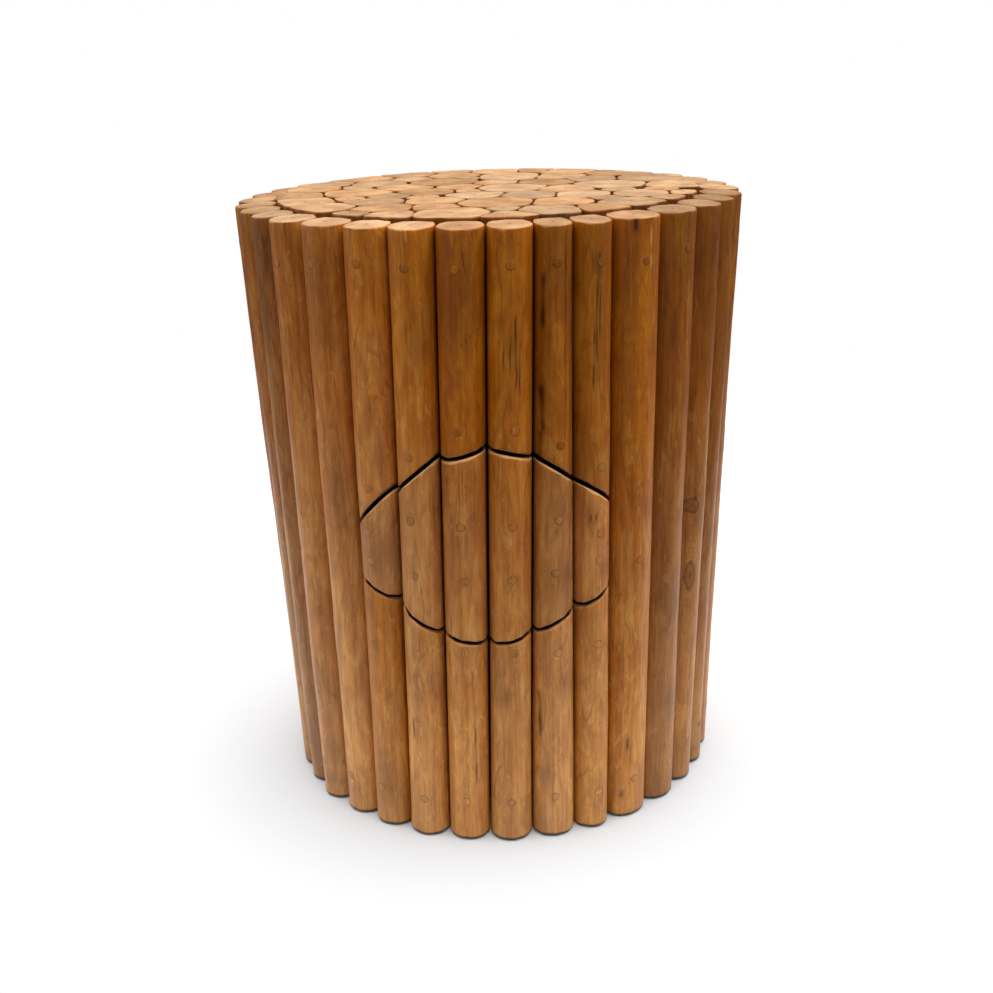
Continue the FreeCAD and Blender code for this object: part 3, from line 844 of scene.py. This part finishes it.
def piece_marks(name, low, high):
    """The marks listed for a piece in sight, or a few drawn ones on another."""
    low = low / MM
    high = high / MM
    knots = []
    for k in range(rng.randint(*drawn_knots["count"])):
        place = draw((drawn_knots["across"], (low, high)))
        half_width, stretch = draw((drawn_knots["half_width"], drawn_knots["stretch"]))
        knots.append((*place, half_width, half_width * stretch))
    seams = []
    for k in range(rng.randint(*drawn_seams["count"])):
        start = rng.uniform(low, high)
        across, length, half_width = draw(drawn_seams[key] for key in ("across", "length", "half_width"))
        seams.append((across, start, start + length, half_width))
    stains_and_shade = []
    for k in range(rng.randint(*drawn_stains["count"])):
        half_width = rng.uniform(*drawn_stains["half_width"])
        place = draw((drawn_stains["across"], (low, high)))
        stains_and_shade.append((*place, half_width, half_width * rng.uniform(*drawn_stains["stretch"])))
    if name in piece_tones_and_shade:
        knots, seams, stains_and_shade = (), (), ()
    return Marks(
        piece_knots.get(name, knots), piece_seams.get(name, seams), piece_stains_and_shade.get(name, stains_and_shade),
        piece_scratches.get(name, ()))


def make_staves():
    full = sorted(n for n in nodes if n.startswith("stave_") and n[6:].isdigit())
    for name in full:
        triangles = node_triangles(name)
        branch = Branch([(h, level_cut(triangles, h)) for h in full_heights], around)
        marks = piece_marks(name, 0.0, stave_top)
        crown = leaning_end(branch, stave_top)
        # full branches get painted shade at their feet
        data = branch_piece(
            branch, level_end(0.0), crown, foot_round, top_round, row_step, marks, foot_shade=foot_shade_darkness)
        branch_object(name, data, tone_points(data, piece_tone(name)), branch_swell, branch_flute)
    columns = sum(n.startswith("medallion_stave_") for n in nodes)
    for column in range(1, columns + 1):
        names = ["%s_%d" % (kind, column) for kind in ("lower_stave", "medallion_stave", "upper_stave")]
        sections = []
        for name, heights in zip(names, (lower_heights, medallion_heights, upper_heights)):
            triangles = node_triangles(name)
            sections += [(h, level_cut(triangles, h)) for h in heights]
        branch = Branch(sections, around)
        lower, medallion, upper = names
        ends = (
            (lower, level_end(0.0), cut_line(lower, branch, True), foot_round, cut_round, 0.0, 1.0),
            (medallion, cut_line(medallion, branch, False), cut_line(medallion, branch, True),
             cut_round, cut_round, 1.0, 1.0),
            (upper, cut_line(upper, branch, False), leaning_end(branch, stave_top),
             cut_round, top_round, 1.0, 0.0),
        )
        for name, low, high, low_round, high_round, low_sawn, high_sawn in ends:
            marks = piece_marks(name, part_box(name)[0].z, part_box(name)[1].z)
            # painted shade at the feet of the lower pieces, and a painted highlight on the medallion pieces'
            # upper arris
            foot_shade = foot_shade_darkness if name == lower else 0.0
            arris_highlight = arris_highlight_share if name == medallion else 0.0
            data = branch_piece(
                branch, low, high, low_round, high_round, row_step, marks, low_sawn, high_sawn, foot_shade, arris_highlight)
            branch_object(name, data, tone_points(data, piece_tone(name)), branch_swell, branch_flute)


def islands(name):
    """Vertex places of each separate solid in a node."""
    mesh = bmesh.new()
    mesh.from_mesh(nodes[name].data)
    bmesh.ops.remove_doubles(mesh, verts=mesh.verts, dist=weld_distance)
    seen = set()
    found = []
    for vert in mesh.verts:
        if vert in seen:
            continue
        group = [vert]
        seen.add(vert)
        for member in group:
            for edge in member.link_edges:
                other = edge.other_vert(member)
                if other not in seen:
                    seen.add(other)
                    group.append(other)
        found.append(np.array([v.co for v in group]))
    mesh.free()
    return found


def make_slices():
    for node in ("rim_slices", "large_slices", "small_slices"):
        parts = []
        for spots in islands(node):
            low, high = spots[:, 2].min(), spots[:, 2].max()
            edge = spots[spots[:, 2] < low + slice_foot_band][:, :2]
            branch = Branch([(low, edge)], slice_around)
            data = branch_piece(
                branch, level_end(low), level_end(high), slice_foot_round, slice_round, slice_row_step,
                Marks())
            tone_points(data, draw(slice_tone))
            data["turn_share"] = np.zeros(len(data["points"]))
            # painted shade on the slices' walls, in the gaps between them
            data["sawn_inside"] = slice_wall_shade * np.clip(1 - 2 * data["end_face"], 0, 1)
            parts.append(data)
        branch_object(node, joined(parts))


def plug_tree():
    """A crowned plug on each point, its face laid on the branch that it closes."""
    tree, given = new_tree("plug_set", {
        "Radius": "Float", "Depth": "Float", "Crown": "Float", "Branches": "Collection"})
    stored = {}
    for name in ("outward", "plug_change", "branch_place", "branch_tone", "plug_rim", "plug_face"):
        kind = "FLOAT" if name in ("plug_rim", "plug_face") else "FLOAT_VECTOR"
        stored[name] = add(tree, "GeometryNodeInputNamedAttribute", {"Name": name}, data_type=kind)
    outward = stored["outward"]

    # the plug's shape, which keeps how near the rim each point is and whether it is on the face
    shape = add(tree, "GeometryNodeMeshCylinder", {
        "Vertices": plug_sides, "Side Segments": 1, "Fill Segments": plug_face_rings,
        "Radius": given["Radius"], "Depth": given["Depth"]}, fill_type="TRIANGLE_FAN")
    spot = add(tree, "GeometryNodeInputPosition")
    level = add(tree, "ShaderNodeVectorMath", {0: spot, 1: (1.0, 1.0, 0.0)}, operation="MULTIPLY")
    reach = add(tree, "ShaderNodeVectorMath", {0: level}, operation="LENGTH")
    rim = add(tree, "ShaderNodeMath", {0: reach, 1: given["Radius"]}, operation="DIVIDE")
    rise = add(tree, "ShaderNodeSeparateXYZ", {"Vector": spot})
    front = add(tree, "ShaderNodeMath", {0: rise.outputs["Z"], 1: 0.0}, operation="GREATER_THAN")
    plug = shape
    for name, node in (("plug_rim", rim), ("plug_face", front)):
        plug = add(tree, "GeometryNodeStoreNamedAttribute", {
            "Geometry": plug, "Name": name, "Value": node}, data_type="FLOAT")
    turn = add(tree, "FunctionNodeAlignRotationToVector", {"Vector": outward}, axis="Z")
    placed = add(tree, "GeometryNodeInstanceOnPoints", {
        "Points": given["Geometry"], "Instance": plug, "Rotation": turn})
    plugs = add(tree, "GeometryNodeRealizeInstances", {"Geometry": placed})

    # rays from outside find the wood, whose grain and tone the plug takes on
    branches = add(tree, "GeometryNodeCollectionInfo", {"Collection": given["Branches"]})
    wood = add(tree, "GeometryNodeRealizeInstances", {"Geometry": branches})
    before = add(tree, "ShaderNodeVectorMath", {0: outward, "Scale": plug_ray_start}, operation="SCALE")
    start = add(tree, "ShaderNodeVectorMath", {0: spot, 1: before}, operation="ADD")
    inward = add(tree, "ShaderNodeVectorMath", {0: outward, "Scale": -1.0}, operation="SCALE")
    found = {}
    for name in ("branch_tone", "branch_place"):
        hit = add(tree, "GeometryNodeRaycast", {
            "Target Geometry": wood, "Attribute": stored[name], "Source Position": start,
            "Ray Direction": inward, "Ray Length": plug_ray_length}, data_type="FLOAT_VECTOR").outputs
        found[name] = hit["Attribute"]
    found["branch_tone"] = add(tree, "ShaderNodeVectorMath", {
        0: found["branch_tone"], 1: stored["plug_change"]}, operation="ADD")
    for name, value in found.items():
        plugs = add(tree, "GeometryNodeStoreNamedAttribute", {
            "Geometry": plugs, "Name": name, "Value": value}, data_type="FLOAT_VECTOR")

    # the face is crowned and stands a little proud of the wood
    square = add(tree, "ShaderNodeMath", {0: stored["plug_rim"], 1: 2.0}, operation="POWER")
    dome = add(tree, "ShaderNodeMath", {0: 1.0, 1: square}, operation="SUBTRACT")
    crown = add(tree, "ShaderNodeMath", {
        0: dome, 1: given["Crown"], 2: plug_proud}, operation="MULTIPLY_ADD")
    lift = add(tree, "ShaderNodeVectorMath", {0: outward, "Scale": crown}, operation="SCALE")
    laid = add(tree, "ShaderNodeVectorMath", {0: hit["Hit Position"], 1: lift}, operation="ADD")
    chosen = add(tree, "ShaderNodeMath", {0: stored["plug_face"], 1: hit["Is Hit"]}, operation="MULTIPLY")
    picked = add(tree, "ShaderNodeMath", {0: chosen, 1: 0.5}, operation="GREATER_THAN")
    moved = add(tree, "GeometryNodeSetPosition", {
        "Geometry": plugs, "Selection": picked, "Position": laid})
    return finish_tree(tree, moved, given["Material"])


def make_plugs(branches):
    """Plugs over the screws, one at each of the node's solids."""
    group = bpy.data.collections.new("branches")
    for branch in branches:
        group.objects.link(branch)
    spots = []
    outward = []
    tones = []
    for plug in islands("stave_plugs"):
        middle = plug.mean(axis=0)
        out = np.append(middle[:2] / np.linalg.norm(middle[:2]), 0.0)
        spots.append(middle)
        outward.append(out)
        tones.append(draw(plug_change))
    piece = mesh_object("branch_plugs", {
        "points": np.array(spots), "faces": [], "outward": np.array(outward),
        "plug_change": np.array(tones), "knot": np.full(len(spots), far_knot)})
    modifier = piece.modifiers.new("plugs", "NODES")
    modifier.node_group = plug_tree()
    set_inputs(modifier, {
        "Radius": plug_radius, "Depth": plug_depth, "Crown": plug_crown, "Branches": group,
        "Material": plug_teak})
    settle([piece])
    piece.data.shade_smooth()
    bpy.data.collections.remove(group)
    pieces.append((piece, "stave_plugs"))


make_staves()
make_slices()
settle([piece for piece, node in pieces])
make_plugs([piece for piece, node in pieces if not node.endswith("slices")])
for piece, node in pieces:
    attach(piece, "root")
    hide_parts(node)


def paint(node, material):
    mesh = nodes[node].data
    mesh.materials.clear()
    mesh.materials.append(material)


for node in ("slice_board", "top_former", "foot_former", "medallion_backing"):
    paint(node, plywood)
for node in ("front_posts", "rear_posts"):
    paint(node, softwood)
for node in ("stave_screws", "post_screws", "backing_screws", "board_screws"):
    paint(node, steel)

# The camera, placed where the photograph was taken from
sensor_side = 36.0
image_side = 993
focal_pixels = 1351
camera_back = 1.1516
camera_height = 0.6345
camera_pitch = math.radians(19.08)
camera_roll = math.radians(-1.70)
forward = Vector((0, math.cos(camera_pitch), -math.sin(camera_pitch)))
right = Vector((1, 0, 0))
upward = right.cross(forward)
level_right = right * math.cos(camera_roll) + upward * math.sin(camera_roll)
level_up = upward * math.cos(camera_roll) - right * math.sin(camera_roll)
camera_data = bpy.data.cameras.new("camera")
camera_data.sensor_width = sensor_side
camera_data.lens = sensor_side * focal_pixels / image_side
camera = bpy.data.objects.new("camera", camera_data)
bpy.context.scene.collection.objects.link(camera)
turn = Matrix((level_right, level_up, -forward)).transposed().to_4x4()
turn.translation = Vector((0, -camera_back, camera_height))
camera.matrix_world = turn
bpy.context.scene.camera = camera


def make_floor():
    mesh = bpy.data.meshes.new("floor")
    shape = bmesh.new()
    bmesh.ops.create_circle(shape, cap_ends=True, segments=floor_sides, radius=floor_radius)
    middle = (0, floor_radius - floor_front, 0)
    bmesh.ops.translate(shape, verts=shape.verts, vec=middle)
    shape.to_mesh(mesh)
    shape.free()
    mesh.materials.append(floor_paper(middle, floor_radius))
    floor = bpy.data.objects.new("floor", mesh)
    bpy.context.scene.collection.objects.link(floor)


make_floor()

# The overhead light, and the panels at the sides with their places and powers
overhead_strength = 5.4
overhead_spread = math.radians(100)
overhead_direction = (-0.16, -0.04, -1.0)
panel_width = 1.0
panel_height = 1.2
panel_aim = Vector((0, 0, 0.3))
panels = {"left_panel": ((-1.7, 0.1, 0.9), 5.0), "right_panel": ((1.7, 0.4, 0.9), 1.5)}
studio_glow = 0.17
studio_sheen = 0.06


def place_light(name, lamp, spot, direction):
    light = bpy.data.objects.new(name, lamp)
    light.location = spot
    light.rotation_euler = Vector(direction).to_track_quat("-Z", "Y").to_euler()
    bpy.context.scene.collection.objects.link(light)


def make_light():
    """A wide soft light overhead and a panel at each side, in a dim studio before a white backdrop."""
    lamp = bpy.data.lights.new("overhead", "SUN")
    lamp.energy = overhead_strength
    lamp.angle = overhead_spread
    place_light("overhead", lamp, (0, 0, 0), overhead_direction)
    for name, (spot, power) in panels.items():
        lamp = bpy.data.lights.new(name, "AREA")
        lamp.shape = "RECTANGLE"
        lamp.size = panel_width
        lamp.size_y = panel_height
        lamp.energy = power
        place_light(name, lamp, spot, panel_aim - Vector(spot))
    world = bpy.data.worlds.new("studio")
    world.use_nodes = True
    tree = world.node_tree
    rays = add(tree, "ShaderNodeLightPath").outputs
    dim = add(tree, "ShaderNodeMapRange", {
        "Value": rays["Is Glossy Ray"], "To Min": studio_glow, "To Max": studio_sheen})
    glow = add(tree, "ShaderNodeMapRange", {
        "Value": rays["Is Camera Ray"], "To Min": dim, "To Max": 1.0})
    feed(tree, tree.nodes["Background"], {"Color": (1, 1, 1, 1), "Strength": glow})
    bpy.context.scene.world = world


make_light()
bpy.context.scene.view_settings.view_transform = "Standard"
